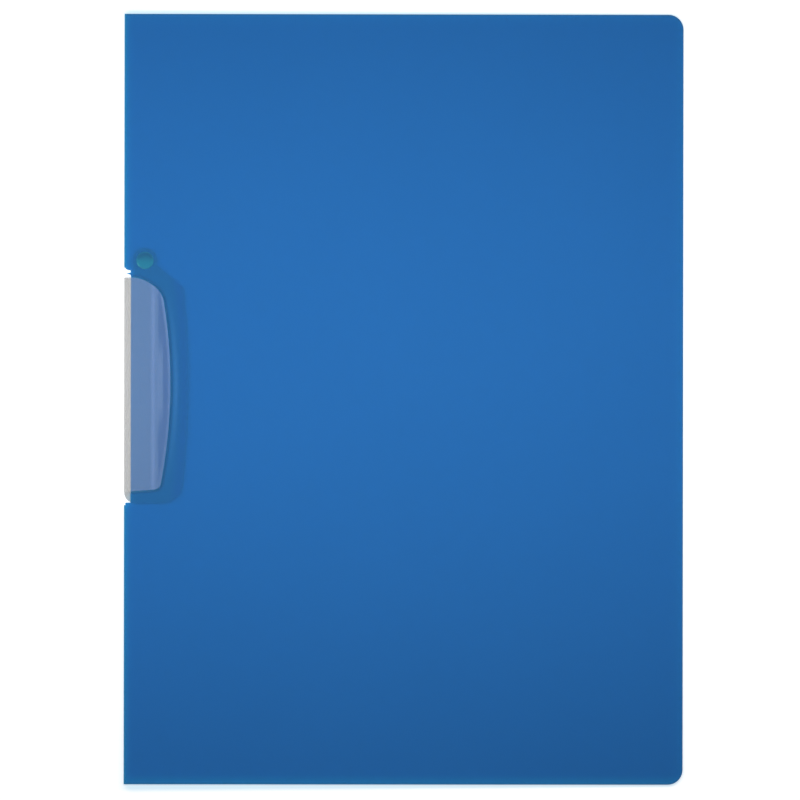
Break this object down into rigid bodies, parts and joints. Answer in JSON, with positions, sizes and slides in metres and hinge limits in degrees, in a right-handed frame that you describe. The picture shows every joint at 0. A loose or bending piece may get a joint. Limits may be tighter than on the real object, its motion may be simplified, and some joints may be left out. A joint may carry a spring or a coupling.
{
  "type": "swing-clip report file",
  "caption": "Thin A4 report file: a folded translucent blue plastic cover with a clear clip that swings out of its spine to grip loose sheets.",
  "frame": {"origin": "middle of the closed file's outline, on the plane that the back cover rests on", "axes": "+X from the spine to the open edge, +Y up the page, +Z out of the front cover"},
  "size_m": [0.225, 0.31, 0.0059],
  "materials": {
    "cover_sheet": "translucent blue polypropylene sheet with a fine matt grain",
    "clip_plastic": "clear moulded plastic, smooth",
    "rivet_metal": "plain brass, lightly polished"
  },
  "bodies": {
    "back": {"back_cover": "cover_sheet", "rivet_stud": "rivet_metal", "rivet_cap": "rivet_metal"},
    "spine": {"spine_strip_lower": "cover_sheet", "spine_strip_upper": "cover_sheet"},
    "front": {"front_cover": "cover_sheet"},
    "clip": {"swing_clip": "clip_plastic"}
  },
  "joints": [
    {"name": "spine_fold", "type": "hinge", "parent": "back", "child": "spine", "pos_m": [-0.11225, 0, 0.00025], "axis": [0, -1, 0], "range_deg": [0, 90]},
    {"name": "front_fold", "type": "hinge", "parent": "spine", "child": "front", "pos_m": [-0.11225, 0, 0.00435], "axis": [0, -1, 0], "range_deg": [0, 90.84]},
    {"name": "clip_swing", "type": "hinge", "parent": "back", "child": "clip", "pos_m": [-0.1042, 0.0558, 0.0016], "axis": [0, 0, -1], "range_deg": [0, 22]}
  ]
}
